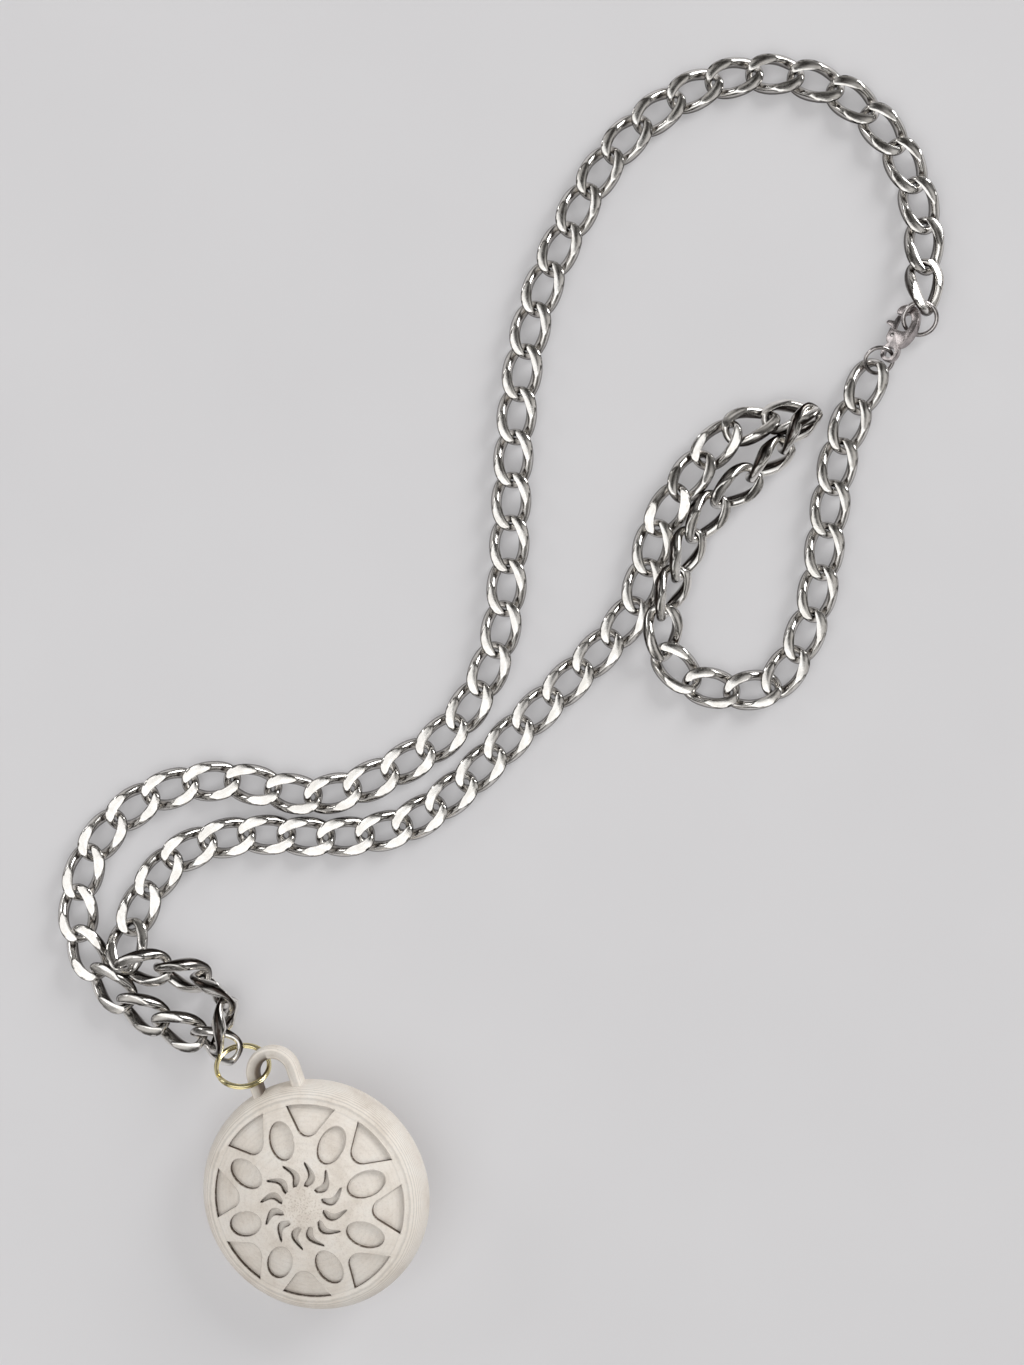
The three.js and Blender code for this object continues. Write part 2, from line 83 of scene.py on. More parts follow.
STRAND_B = [
    (0, 89.0, 132.3, 0, 0), (2, 83.7, 119.8, 0, 0), (4, 81.4, 106.3, 0, 0),
    (6, 79.2, 92.9, 0, 0), (8, 72.9, 81.2, 0, 0), (9, 66.2, 80.4, 0, 0), (10, 59.7, 81.9, 0, 0),
    (11, 55.2, 86.7, 0, 0), (12, 55.2, 93.2, 35, 0), (13, 57.4, 99.1, 51, 0.02),
    (14, 59.9, 105.4, 30, 0.03), (15, 63.9, 110.9, 31, 0.04), (16, 69.5, 114.9, 35, 0.22),
    (17, 74.5, 119.5, 80, 0.05), (18, 78.7, 124.8, 59, 1.24), (19, 72.2, 123.8, 30, 0.8),
    (20, 66.1, 122.1, 20, 1.22), (21, 61.6, 117.6, 0, 0.9), (22, 57.7, 112.2, 0, 1.54),
    (23, 54.3, 106.5, 0, 0), (25, 51.1, 94.1, 0, 0), (27, 42.5, 84.3, 0, 0),
    (29, 32.9, 75.2, 0, 0), (31, 24.0, 66.1, 0, 0), (33, 13.8, 59.0, 0, 0),
    (35, 1.5, 57.2, 0, 0), (37, -11.1, 57.8, 0, 0), (39, -23.0, 54.0, 0, 0),
    (41, -29.5, 43.1, 0, 0), (42, -30.59, 37.12, -6.4, 2.12), (43, -24.26, 36.61, 68.6, 0.03),
    (44, -18.2, 34.92, 15.7, 0.05), (45, -13.76, 31.03, 146.7, 1.93),
    (46, -15.49, 24.5, 50.5, 1.88),
]
# The first link of each run that has three links, not two.
LONG_RUNS = {"strand_a": (), "strand_b": (16, 43)}

# One link, to its wire's middle, and the rise and fall of the wire as it goes round.
LINK_HALF_LENGTH = 4.14
LINK_HALF_WIDTH = 2.36
LINK_TWIST = -1.12
LINK_BIAS = 0.05
LINK_STEPS = 72
# The wire: half its width and half its height, and how much higher it is at the
# link's sides. The centre link swings between the strands, so its wire is thinner.
LINK_WIRE = (0.86, 0.72, 0.42)
CENTRE_WIRE = (0.70, 0.62, 0.20)
WIRE_LEAN = 0.16          # how far the wire's inner edge is tipped up where it rises
END_EXTRA = -0.24         # change of half width at the link's ends
SHOULDER_EXTRA = 0.12     # change of half width where two links cross
# The ground faces: their height, their slight crown, and half their angle round the wire.
GROUND_HEIGHT = 1.19
GROUND_CROWN = 0.20
GROUND_NARROWEST = 24
GROUND_WIDEST = 78
# The wire's colour is painted dark, as painted shade, where it faces sideways by less than the
# first of these, and left bright where it faces up or down by more than the second.
PAINTED_SHADE_FULL = 0.30
PAINTED_SHADE_NONE = 0.85

# The link that joins both strands to the pendant.
CENTRE_LINK = ((-18.21, 25.74, 2.5), (-13.21, 23.76, 4.43), 34.2)


def add_mesh(name, bm, matrix=None, sharp=38):
    """A new object from a mesh in millimetres, smooth but for edges over an angle."""
    bmesh.ops.recalc_face_normals(bm, faces=bm.faces)
    for face in bm.faces:
        face.smooth = True
    bm.transform(Matrix.Scale(MM, 4))
    mesh = bpy.data.meshes.new(name)
    bm.to_mesh(mesh)
    bm.free()
    mesh.set_sharp_from_angle(angle=math.radians(sharp))
    obj = bpy.data.objects.new(name, mesh)
    if matrix is not None:
        place = matrix.copy()
        place.translation = matrix.translation * MM
        obj.matrix_world = place
    bpy.context.scene.collection.objects.link(obj)
    return obj


def add_skin(bm, rings, looped=False):
    """Faces over rings of points; a skin that isn't looped gets two end caps."""
    rows = [[bm.verts.new(p) for p in ring] for ring in rings]
    count = len(rows[0])
    spans = len(rows) if looped else len(rows) - 1
    for i in range(spans):
        here, after = rows[i], rows[(i + 1) % len(rows)]
        for j in range(count):
            k = (j + 1) % count
            bm.faces.new((here[j], here[k], after[k], after[j]))
    if not looped:
        bm.faces.new(rows[0])
        bm.faces.new(rows[-1])
    return rows


def wire_angles(top, bottom):
    """Angles round the wire for one ring: seven over the top face, seven over the
    bottom one, and five on each side between them. top and bottom are half widths."""
    angles = []
    for start, end, count, inner in (
        (90 - top, 90 + top, 6, 0),
        (90 + top, 270 - bottom, 6, 1),
        (270 - bottom, 270 + bottom, 6, 0),
        (270 + bottom, 450 - top, 6, 1),
    ):
        for k in range(inner, count + 1 - inner):
            angles.append(math.radians(start + (end - start) * k / count))
    return angles


def ground_half_width(room, high):
    """Half the angle of the ground face where the wire's middle is room below the cut."""
    reach = min(1.0, max(-1.0, room / high))
    return min(GROUND_WIDEST, max(GROUND_NARROWEST, math.degrees(math.acos(reach))))


def link_mesh(name, wire):
    """One curb link, long along X: an oval of thick wire, twisted and ground flat."""
    half_wide, half_high, side_extra = wire
    bm = bmesh.new()
    unshaded = bm.verts.layers.float.new("unshaded")
    rings = []
    values = []
    for i in range(LINK_STEPS):
        t = i / LINK_STEPS * math.tau
        sine, cosine = math.sin(t), math.cos(t)
        rise = math.sin(2 * t) + LINK_BIAS * math.sin(4 * t)
        centre = Vector((LINK_HALF_LENGTH * cosine, LINK_HALF_WIDTH * sine, LINK_TWIST * rise))
        along = Vector((-LINK_HALF_LENGTH * sine, LINK_HALF_WIDTH * cosine,
                        2 * LINK_TWIST * math.cos(2 * t))).normalized()
        out = Vector((LINK_HALF_WIDTH * cosine, LINK_HALF_LENGTH * sine, 0)).normalized()
        up = out.cross(along)
        wide = half_wide + END_EXTRA * cosine ** 2 + SHOULDER_EXTRA * rise ** 2
        high = half_high + side_extra * sine ** 4
        top = ground_half_width(GROUND_HEIGHT - centre.z, high * up.z)
        bottom = ground_half_width(GROUND_HEIGHT + centre.z, high * up.z)
        ring = []
        for angle in wire_angles(top, bottom):
            p = centre + out * (wide * math.cos(angle)) + up * (high * math.sin(angle))
            p.z += WIRE_LEAN * rise * math.cos(angle)
            over = abs(p.z) - GROUND_HEIGHT
            if over > 0:
                p.z = math.copysign(GROUND_HEIGHT + over * GROUND_CROWN, p.z)
            ring.append(p)
            # Painted shade: the ground faces stay bright, and the wire's sides are painted darker
            # as they turn sideways.
            up_face = 1.0 if over > -0.001 else abs(math.sin(angle))
            values.append((up_face - PAINTED_SHADE_FULL) / (PAINTED_SHADE_NONE - PAINTED_SHADE_FULL))
        rings.append(ring)
    rows = add_skin(bm, rings, looped=True)
    for vert, value in zip((v for row in rows for v in row), values):
        vert[unshaded] = min(1.0, max(0.0, value))
    bmesh.ops.recalc_face_normals(bm, faces=bm.faces)
    mesh = bpy.data.meshes.new(name)
    bm.to_mesh(mesh)
    bm.free()
    return mesh


LINK_PATTERN = link_mesh("link_pattern", LINK_WIRE)
CENTRE_PATTERN = link_mesh("centre_pattern", CENTRE_WIRE)
LINK_POINTS = [v.co.copy() for v in LINK_PATTERN.vertices]


def rest_height(roll):
    """How high a link's middle is when its lowest point just clears the table."""
    sine, cosine = math.sin(math.radians(roll)), math.cos(math.radians(roll))
    return TABLE_GAP - min(p.y * sine + p.z * cosine for p in LINK_POINTS)


def curve_point(points, row, part):
    """A point between two rows on the smooth curve through all of them."""
    p1, p2 = points[row], points[row + 1]
    p0 = points[row - 1] if row > 0 else p1 * 2 - p2
    p3 = points[row + 2] if row + 2 < len(points) else p2 * 2 - p1
    d0, d1, d2 = (math.sqrt((b - a).length) for a, b in ((p0, p1), (p1, p2), (p2, p3)))
    start = ((p1 - p0) / d0 - (p2 - p0) / (d0 + d1) + (p2 - p1) / d1) * d1
    end = ((p2 - p1) / d1 - (p3 - p1) / (d1 + d2) + (p3 - p2) / d2) * d1
    square = -3 * p1 + 3 * p2 - 2 * start - end
    cube = 2 * p1 - 2 * p2 + start + end
    return p1 + start * part + square * part ** 2 + cube * part ** 3


def joints_along(rows):
    points = [Vector((r[1], r[2])) for r in rows]
    joints = []
    for row in range(len(rows) - 1):
        here, after = rows[row], rows[row + 1]
        steps = after[0] - here[0]
        for i in range(steps + (row + 2 == len(rows))):
            part = i / steps
            p = curve_point(points, row, part)
            roll = here[3] + (after[3] - here[3]) * part
            lift = here[4] + (after[4] - here[4]) * part
            joints.append((Vector((p.x, p.y, rest_height(roll) + lift)), roll))
    return joints


def along_matrix(a, b, roll):
    """Turns something drawn along X so that it runs from a towards b, rolled."""
    way = (b - a).normalized()
    left = Vector((0, 0, 1)).cross(way).normalized()
    up = way.cross(left)
    turned = Matrix((way, left, up)).transposed().to_4x4()
    middle = Matrix.Translation((a + b) / 2 + FRAME_SHIFT)
    return middle @ turned @ Matrix.Rotation(math.radians(roll), 4, "X")


def placed_above_table(place):
    low = min((place @ p).z for p in LINK_POINTS)
    return Matrix.Translation((0, 0, max(0, -low))) @ place


def link_places(rows):
    joints = joints_along(rows)
    places = []
    for (a, roll_a), (b, roll_b) in zip(joints, joints[1:]):
        places.append(placed_above_table(along_matrix(a, b, (roll_a + roll_b) / 2)))
    return places


def links_object(name, places, pattern=LINK_PATTERN):
    bm = bmesh.new()
    for place in places:
        before = len(bm.verts)
        bm.from_mesh(pattern)
        bm.verts.ensure_lookup_table()
        bmesh.ops.transform(bm, matrix=place, verts=bm.verts[before:])
    return add_mesh(name, bm, sharp=26)


def add_piece(obj, material, body, slot, *nodes):
    obj.data.materials.append(material)
    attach(obj, body)
    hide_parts(*nodes)
    return obj


def add_strand(strand, rows, material):
    places = link_places(rows)
    first, run = 0, 1
    while first < len(places):
        count = 3 if first in LONG_RUNS[strand] else 2
        node = f"{strand}_links_{run:02d}"
        obj = links_object("look_" + node, places[first:first + count])
        add_piece(obj, material, "chain", "polished_steel", node)
        first += count
        run += 1


# ---------------------------------------------------------------------------
# Materials.

class Nodes:
    """A short way to build a material's nodes."""

    def __init__(self, name):
        self.material = bpy.data.materials.new(name)
        self.material.use_nodes = True
        self.tree = self.material.node_tree
        self.shader = self.tree.nodes["Principled BSDF"]

    def add(self, kind, **inputs):
        node = self.tree.nodes.new("ShaderNode" + kind)
        for key, value in inputs.items():
            node.inputs[key.replace("_", " ")].default_value = value
        return node

    def link(self, source, target):
        self.tree.links.new(source, target)

    def coordinates(self):
        return self.add("TexCoord").outputs["Object"]

    def noise(self, vector, scale, detail=3.0, roughness=0.5):
        node = self.add("TexNoise", Scale=scale, Detail=detail, Roughness=roughness)
        self.link(vector, node.inputs["Vector"])
        return node.outputs["Fac"]

    def ramp(self, value, *stops):
        node = self.add("ValToRGB")
        ramp = node.color_ramp
        while len(ramp.elements) < len(stops):
            ramp.elements.new(0.5)
        for element, (place, colour) in zip(ramp.elements, stops):
            element.position = place
            element.color = (*colour, 1) if isinstance(colour, tuple) else (colour,) * 3 + (1,)
        self.link(value, node.inputs["Fac"])
        return node.outputs["Color"]

    def mix(self, factor, a, b, blend="MIX"):
        """One colour into another; each may be a plain colour or another node's output."""
        node = self.add("Mix")
        node.data_type = "RGBA"
        node.blend_type = blend
        for socket, value in (("Factor", factor), ("A", a), ("B", b)):
            if isinstance(value, tuple):
                node.inputs[socket].default_value = (*value, 1)
            elif isinstance(value, float):
                node.inputs[socket].default_value = value
            else:
                self.link(value, node.inputs[socket])
        return node.outputs["Result"]

    def bump(self, height, strength, distance, normal=None):
        node = self.add("Bump", Strength=strength, Distance=distance)
        self.link(height, node.inputs["Height"])
        if normal is not None:
            self.link(normal, node.inputs["Normal"])
        return node.outputs["Normal"]


def metal(name, light, dark, rough_low, rough_high, flank_shade_colour=None):
    """A polished metal with soft wear: cloudy gloss and very fine scratches.
    With a colour for painted shade, a value on the mesh says where the metal keeps its bright
    colour and where painted shade darkens it."""
    n = Nodes(name)
    place = n.coordinates()
    cloud = n.noise(place, 420.0, 4.0, 0.6)
    colour = n.ramp(cloud, (0.36, dark), (0.6, light))
    if flank_shade_colour is not None:
        # Painted shade: a value on the mesh mixes the dark shade colour into the metal's colour.
        unshaded = n.add("Attribute")
        unshaded.attribute_name = "unshaded"
        colour = n.mix(unshaded.outputs["Fac"], flank_shade_colour, colour)
    n.link(colour, n.shader.inputs["Base Color"])
    n.link(n.ramp(n.noise(place, 900.0, 5.0, 0.7), (0.3, rough_low), (0.75, rough_high)),
           n.shader.inputs["Roughness"])
    n.link(n.bump(n.noise(place, 1500.0, 3.0, 0.6), 0.12, 0.00004), n.shader.inputs["Normal"])
    n.shader.inputs["Metallic"].default_value = 1.0
    return n.material


def make_chain_steel():
    # The last colour is the painted shade for the wire's sides.
    return metal("chain_steel_look", (0.93, 0.91, 0.88), (0.80, 0.775, 0.735), 0.12, 0.25,
                 flank_shade_colour=(0.032, 0.024, 0.02))


def make_steel():
    return metal("polished_steel_look", (0.56, 0.53, 0.52), (0.22, 0.205, 0.20), 0.10, 0.22)


# A darker, slightly pink copy of the steel: painted shade on the clasp's body and lever, whose
# plates mirror the window brightly.
def make_shaded_clasp_steel():
    return metal("shaded_clasp_steel_look", (0.50, 0.455, 0.45), (0.18, 0.165, 0.165), 0.18, 0.32)


def make_brass():
    return metal("brass_look", (0.88, 0.80, 0.50), (0.76, 0.66, 0.36), 0.12, 0.28)


CHAIN_STEEL = make_chain_steel()
STEEL = make_steel()
SHADED_CLASP_STEEL = make_shaded_clasp_steel()
BRASS = make_brass()

add_strand("strand_a", STRAND_A, CHAIN_STEEL)
add_strand("strand_b", STRAND_B, CHAIN_STEEL)


def centre_link_place():
    start, end, roll = CENTRE_LINK
    return along_matrix(Vector(start), Vector(end), roll)


add_piece(links_object("look_centre_link", [centre_link_place()], CENTRE_PATTERN), CHAIN_STEEL,
          "centre_link", "polished_steel", "centre_link")

# ---------------------------------------------------------------------------
# Rings of bent wire. Each has its place, size and two tips, as in the CAD part.

SPLIT_RING = {"at": (-11.23, 21.57, 6.51), "mean": 4.15, "tips": (-47.4, -0.3)}
CATCH_RING = {"at": (96.13, 139.93, 2.46), "mean": 2.65, "tips": (19.48, 0.09)}
CLASP_RING = {"at": (89.69, 133.31, 1.89), "mean": 2.25, "tips": (31.4, 3.9)}
SPLIT_STEP = 0.44       # from one turn of the split ring to the other
ROUND_WIRE = (0.36, 0.36)
THIN_WIRE = (0.33, 0.33)
FLAT_WIRE = (0.36, 0.21)
ALMOST_CLOSED = 0.992   # turns
ALMOST_TWICE = 1.985
COIL_STEPS = 72         # for one turn
COIL_SIDES = 14


def ring_place(ring):
    tip_x, tip_y = (math.radians(tip) for tip in ring["tips"])
    turned = Matrix.Rotation(tip_y, 4, "Y") @ Matrix.Rotation(tip_x, 4, "X")
    return Matrix.Translation(Vector(ring["at"]) + FRAME_SHIFT) @ turned


def coil_object(name, ring, turns, rise, wire, start):
    """Wire wound into a ring. rise gives its height at each share of the winding, wire
    is its half width and half height, and start is where its first end lies."""
    bm = bmesh.new()
    rings = []
    steps = int(COIL_STEPS * turns)
    for i in range(steps + 1):
        part = i / steps
        t = math.radians(start) + part * turns * math.tau
        out = Vector((math.cos(t), math.sin(t), 0))
        centre = out * ring["mean"] + Vector((0, 0, rise(part)))
        section = []
        for j in range(COIL_SIDES):
            angle = j / COIL_SIDES * math.tau
            section.append(centre + out * (wire[0] * math.cos(angle))
                           + Vector((0, 0, wire[1] * math.sin(angle))))
        rings.append(section)
    add_skin(bm, rings)
    return add_mesh(name, bm, ring_place(ring))


def split_rise(part):
    """Low for one turn, then over a short step up to lie on it for the other turn."""
    step = min(1.0, max(0.0, (part - 0.47) / 0.06))
    return SPLIT_STEP * (step * step * (3 - 2 * step) - 0.5)


def level(part):
    return 0.0


add_piece(coil_object("look_split_ring", SPLIT_RING, ALMOST_TWICE, split_rise, FLAT_WIRE, 215),
          BRASS, "split_ring", "brass_wire", "split_ring")
add_piece(coil_object("look_catch_ring", CATCH_RING, ALMOST_CLOSED, level, ROUND_WIRE, 60),
          STEEL, "catch_ring", "polished_steel", "catch_ring")
add_piece(coil_object("look_clasp_ring", CLASP_RING, ALMOST_CLOSED, level, THIN_WIRE, 200),
          STEEL, "clasp_ring", "polished_steel", "clasp_ring")

# ---------------------------------------------------------------------------
# The lobster clasp, long along X from its eye, as in the CAD part.

CLASP_AT = (91.4, 134.41, 2.48)       # middle of the eye
CLASP_TURN = (62.29, 3.63, -35.25)   # turn, tip and roll
CLASP_THICK = 1.7
CLASP_ROUND = 0.42
EYE_HOLE = 0.9
SLOT = (3.3, 1.55, 3.2, 0.8)        # middle, its side, and how thick it is
PIN = (2.75, 0.75, 0.32)            # middle and radius
# How thick the clasp is along its length, as a share of its thickest.
CLASP_TAPER = ((-1.5, 0.53), (0.8, 0.55), (2.0, 1.0), (4.3, 1.0), (6.0, 0.74), (9.0, 0.62))
BODY_OUTLINE = (
    (-1.5, 0), (-1.5, -1.5, 0, -1.5), (0.8, -1.5, 1.3, -1.1), (2.2, -2.2, 4.4, -2.35),
    (7.0, -2.4, 8.2, -0.9), (8.9, 0.6, 7.7, 1.9), (7.0, 2.4, 6.4, 2.0), (6.4, 1.0),
    (7.2, 0.6, 6.9, -0.3), (6.2, -1.3, 4.6, -1.25), (3.9, -1.2, 3.75, -0.5),
    (3.75, 1.75), (3.2, 1.75, 2.4, 1.7), (1.6, 1.5, 1.3, 1.1), (0.8, 1.5, 0, 1.5),
    (-1.5, 1.5, -1.5, 0),
)
LEVER_OUTLINE = (
    (2.15, 0.7), (2.2, 0.15, 2.8, 0.15), (3.3, 0.4), (3.9, 1.15, 4.6, 1.15), (6.22, 1.15),
    (6.2, 1.8), (5.6, 1.95, 5.15, 2.0), (5.1, 2.7, 4.95, 3.1), (4.7, 3.2, 4.45, 3.15),
    (4.4, 2.6, 4.1, 2.0), (2.4, 1.9, 2.15, 0.7),
)
LEVER_THICK = 0.56
LEVER_ROUND = 0.14
PIN_ROUND = 0.12
PIN_ROOM = 0.04          # how much wider the body's bore is than the pin
CUTTER_LENGTH = 4


def outline_points(outline):
    """Points along an outline: two numbers are a straight line's end, and four are a
    curve's handle and end."""
    points = [Vector(outline[0])]
    for step in outline[1:]:
        start, end = points[-1], Vector(step[-2:])
        if len(step) == 4:
            handle = Vector(step[:2])
            for i in range(1, 9):
                t = i / 8
                points.append(start * (1 - t) ** 2 + handle * (2 * t * (1 - t)) + end * t ** 2)
        else:
            points.append(end)
    if (points[-1] - points[0]).length < 0.01:
        points.pop()
    return points


def rounded_plate(outline, thick, edge):
    """A plate with its middle at Z = 0 and both its faces' edges rounded over."""
    bm = bmesh.new()
    bottom = bm.faces.new([bm.verts.new((p.x, p.y, -thick / 2)) for p in outline_points(outline)])
    walls = bmesh.ops.extrude_face_region(bm, geom=[bottom], use_keep_orig=True)["geom"]
    raised = [v for v in walls if isinstance(v, bmesh.types.BMVert)]
    bmesh.ops.translate(bm, verts=raised, vec=(0, 0, thick))
    bmesh.ops.recalc_face_normals(bm, faces=bm.faces)
    edges = [e for e in bm.edges if abs(e.verts[0].co.z - e.verts[1].co.z) < 1e-6]
    bmesh.ops.bevel(bm, geom=edges, offset=edge, segments=4, profile=0.5, affect="EDGES",
                    clamp_overlap=True)
    return bm


def rod(x, y, radius, long):
    bm = bmesh.new()
    bmesh.ops.create_cone(bm, cap_ends=True, segments=32, radius1=radius, radius2=radius,
                          depth=long, matrix=Matrix.Translation((x, y, 0)))
    return bm


def block(x, y, side, thick):
    bm = bmesh.new()
    size = Matrix.Diagonal((side, side, thick, 1))
    bmesh.ops.create_cube(bm, size=1, matrix=Matrix.Translation((x, y, 0)) @ size)
    return bm


def carved(bm, cutters):
    """The mesh with every cutter taken out of it, all in millimetres."""
    made = []
    for shape in [bm] + cutters:
        mesh = bpy.data.meshes.new("carving")
        shape.to_mesh(mesh)
        shape.free()
        made.append(bpy.data.objects.new("carving", mesh))
        bpy.context.scene.collection.objects.link(made[-1])
    for cutter in made[1:]:
        cut = made[0].modifiers.new("cut", "BOOLEAN")
        cut.operation = "DIFFERENCE"
        cut.solver = "EXACT"
        cut.object = cutter
    graph = bpy.context.evaluated_depsgraph_get()
    result = bmesh.new()
    result.from_mesh(made[0].evaluated_get(graph).to_mesh())
    for obj in made:
        mesh = obj.data
        bpy.data.objects.remove(obj)
        bpy.data.meshes.remove(mesh)
    return result


def taper(bm, stops):
    for vert in bm.verts:
        x = vert.co.x
        for (x0, k0), (x1, k1) in zip(stops, stops[1:]):
            if x0 <= x <= x1:
                part = (x - x0) / (x1 - x0)
                vert.co.z *= k0 + (k1 - k0) * part * part * (3 - 2 * part)
                break


def clasp_place():
    turn, tip, roll = (math.radians(degrees) for degrees in CLASP_TURN)
    turned = Matrix.Rotation(turn, 4, "Z") @ Matrix.Rotation(tip, 4, "Y")
    turned = turned @ Matrix.Rotation(roll, 4, "X")
    return Matrix.Translation(Vector(CLASP_AT) + FRAME_SHIFT) @ turned


def clasp_body():
    eye = rod(0, 0, EYE_HOLE, CUTTER_LENGTH)
    slot = block(SLOT[0], SLOT[1], SLOT[2], SLOT[3])
    bore = rod(PIN[0], PIN[1], PIN[2] + PIN_ROOM, CUTTER_LENGTH)
    bm = carved(rounded_plate(BODY_OUTLINE, CLASP_THICK, CLASP_ROUND), [eye, slot, bore])
    taper(bm, CLASP_TAPER)
    return add_mesh("look_clasp_body", bm, clasp_place())


def clasp_lever():
    bm = rounded_plate(LEVER_OUTLINE, LEVER_THICK, LEVER_ROUND)
    return add_mesh("look_clasp_lever", bm, clasp_place())


def clasp_pin():
    """The rivet, with its two ends domed over."""
    bm = rod(PIN[0], PIN[1], PIN[2], CLASP_THICK)
    ends = [e for e in bm.edges if abs(e.verts[0].co.z - e.verts[1].co.z) < 1e-6]
    bmesh.ops.bevel(bm, geom=ends, offset=PIN_ROUND, segments=3, profile=0.5, affect="EDGES")
    return add_mesh("look_clasp_pin", bm, clasp_place())


add_piece(clasp_body(), SHADED_CLASP_STEEL, "clasp", "polished_steel", "clasp_body")
add_piece(clasp_lever(), SHADED_CLASP_STEEL, "clasp_lever", "polished_steel", "clasp_lever")
add_piece(clasp_pin(), STEEL, "clasp", "polished_steel", "clasp_pin")

# ---------------------------------------------------------------------------
# The printed medallion, drawn flat round its own middle and then laid down.

DISC_RADIUS = 18.35
DISC_STEPS = 144
DISC_MIDDLE = (0.35, 1.45, 6.46)
DISC_TURN = (20.5, 13.5, 204)        # turn, lean and the way it leans
SHOULDER_RADIUS = 15.6
SHOULDER_Z = 4.0
DOME_RADIUS = 35
BACK_FLAT_RADIUS = 7.5
BACK_FLAT_Z = -4.4
BACK_CURVE = 0.034
BACK_EDGE = 14.8
POCKET_DEPTH = 0.75
OVAL = (10.5, 2.95, 2.0)            # middle's distance, half length, half width
FAN = (15.35, 10.75, 15)            # outer arc, inner corner, half angle
FAN_ROUND = 1.9
RAY = (3.3, 7.0, 0.55, 8)            # inner end, outer end, half width, sway
# The width of the band of painted shade round each pocket's edge, and how dark it is painted.
SHADE_BAND_WIDTH = 0.16
LIP_SHADE = 0.45
FACE_RINGS = 22                     # rings of points over the face, and their step
FACE_STEP = 0.7
FACE_CLEAR = 0.3                    # the least distance from one to an outline
HUB_RADIUS = 3                      # the plain middle, which has no pockets
BAIL_MEAN_RADIUS = 3.35
BAIL_CENTRE = 20.4
BAIL_RISE = 1
BAIL_TURN = -2.5
BAIL_HALF_THICK = 1.05
BAIL_HALF_DEPTH = 1.4
BAIL_SUNK = 1.9                     # how far its feet reach into the rim
BAIL_FOOT_STEP = 0.8
BAIL_SQUARENESS = 0.75              # 1 is an ellipse, less is squarer
BAIL_SIDES = 24
# Painted shade round the inside of one leg of the loop, from this corner of each section on.
BAIL_SHADE_FROM = 6
BAIL_SHADE = (0.2, 0.5, 0.8, 0.95, 0.95, 0.95, 0.95, 0.95, 0.6, 0.3)


def turned_outline(points, degrees):
    turn = Matrix.Rotation(math.radians(degrees), 2)
    return [turn @ Vector(p) for p in points]


def oval_outline():
    middle, long, wide = OVAL
    return [(wide * math.cos(t), middle + long * math.sin(t))
            for t in (i / 36 * math.tau for i in range(36))]


def fan_outline():
    outer, inner, half = FAN
    points = []
    for i in range(13):
        t = math.radians(90 - half + i / 12 * 2 * half)
        points.append((outer * math.cos(t), outer * math.sin(t)))
    for i in range(9):
        t = math.radians(221 + i / 8 * 98)
        points.append((FAN_ROUND * math.cos(t), inner + FAN_ROUND * (1 + math.sin(t))))
    return points


def ray_outline():
    """A flame: blunt at its inner end, pointed outside, and swaying as it goes."""
    inner, outer, wide, bend = RAY
    left, right = [], []
    for i in range(15):
        part = i / 14
        r = inner + (outer - inner) * part
        sway = math.radians(-bend) * math.sin(part * math.pi * 1.35)
        half = wide * math.sqrt(max(0, 1 - part ** 2)) * min(1, 0.45 + part * 3) + 0.04
        x, y = -r * math.sin(sway), r * math.cos(sway)
        left.append((x - half, y))
        right.append((x + half, y))
    return right + left[::-1]


def grown(outline, by):
    """The outline pushed outwards, for the band of painted shade round a pocket."""
    points = []
    count = len(outline)
    for i in range(count):
        way = (outline[(i + 1) % count] - outline[i - 1]).normalized()
        points.append(outline[i] + Vector((way.y, -way.x)) * by)
    return points


def pocket_outlines():
    outlines = []
    for i in range(8):
        outlines.append(turned_outline(oval_outline(), i * 45))
        outlines.append(turned_outline(fan_outline(), i * 45 + 22.5))
    for i in range(12):
        outlines.append(turned_outline(ray_outline(), i * 30))
    return outlines


def dome_height(p):
    edge = math.sqrt(DOME_RADIUS ** 2 - SHOULDER_RADIUS ** 2)
    return SHOULDER_Z + math.sqrt(DOME_RADIUS ** 2 - p.x ** 2 - p.y ** 2) - edge


def inside(p, outline):
    """Whether a point is inside an outline, by counting the edges to its right."""
    odd = False
    for a, b in zip(outline, outline[1:] + outline[:1]):
        if (a.y > p.y) != (b.y > p.y) and p.x < (b.x - a.x) * (p.y - a.y) / (b.y - a.y) + a.x:
            odd = not odd
    return odd


def face_points(outlines):
    """The flat plan of the front: its rim, the outlines, and points between them."""
    points, edges = [], []
    for outline in [rim_points()] + outlines + [grown(o, SHADE_BAND_WIDTH) for o in outlines]:
        first, count = len(points), len(outline)
        points.extend(outline)
        edges.extend((first + i, first + (i + 1) % count) for i in range(count))
    corners = list(points)
    for ring in range(1, FACE_RINGS):
        r = ring * FACE_STEP
        count = max(6, int(math.tau * r / FACE_STEP))
        for i in range(count):
            t = (i + ring * 0.37) / count * math.tau
            p = Vector((r * math.cos(t), r * math.sin(t)))
            if min((p - q).length for q in corners) > FACE_CLEAR:
                points.append(p)
    return points, edges


def rim_points():
    return [Vector((SHOULDER_RADIUS * math.cos(t), SHOULDER_RADIUS * math.sin(t)))
            for t in (i / DISC_STEPS * math.tau for i in range(DISC_STEPS))]


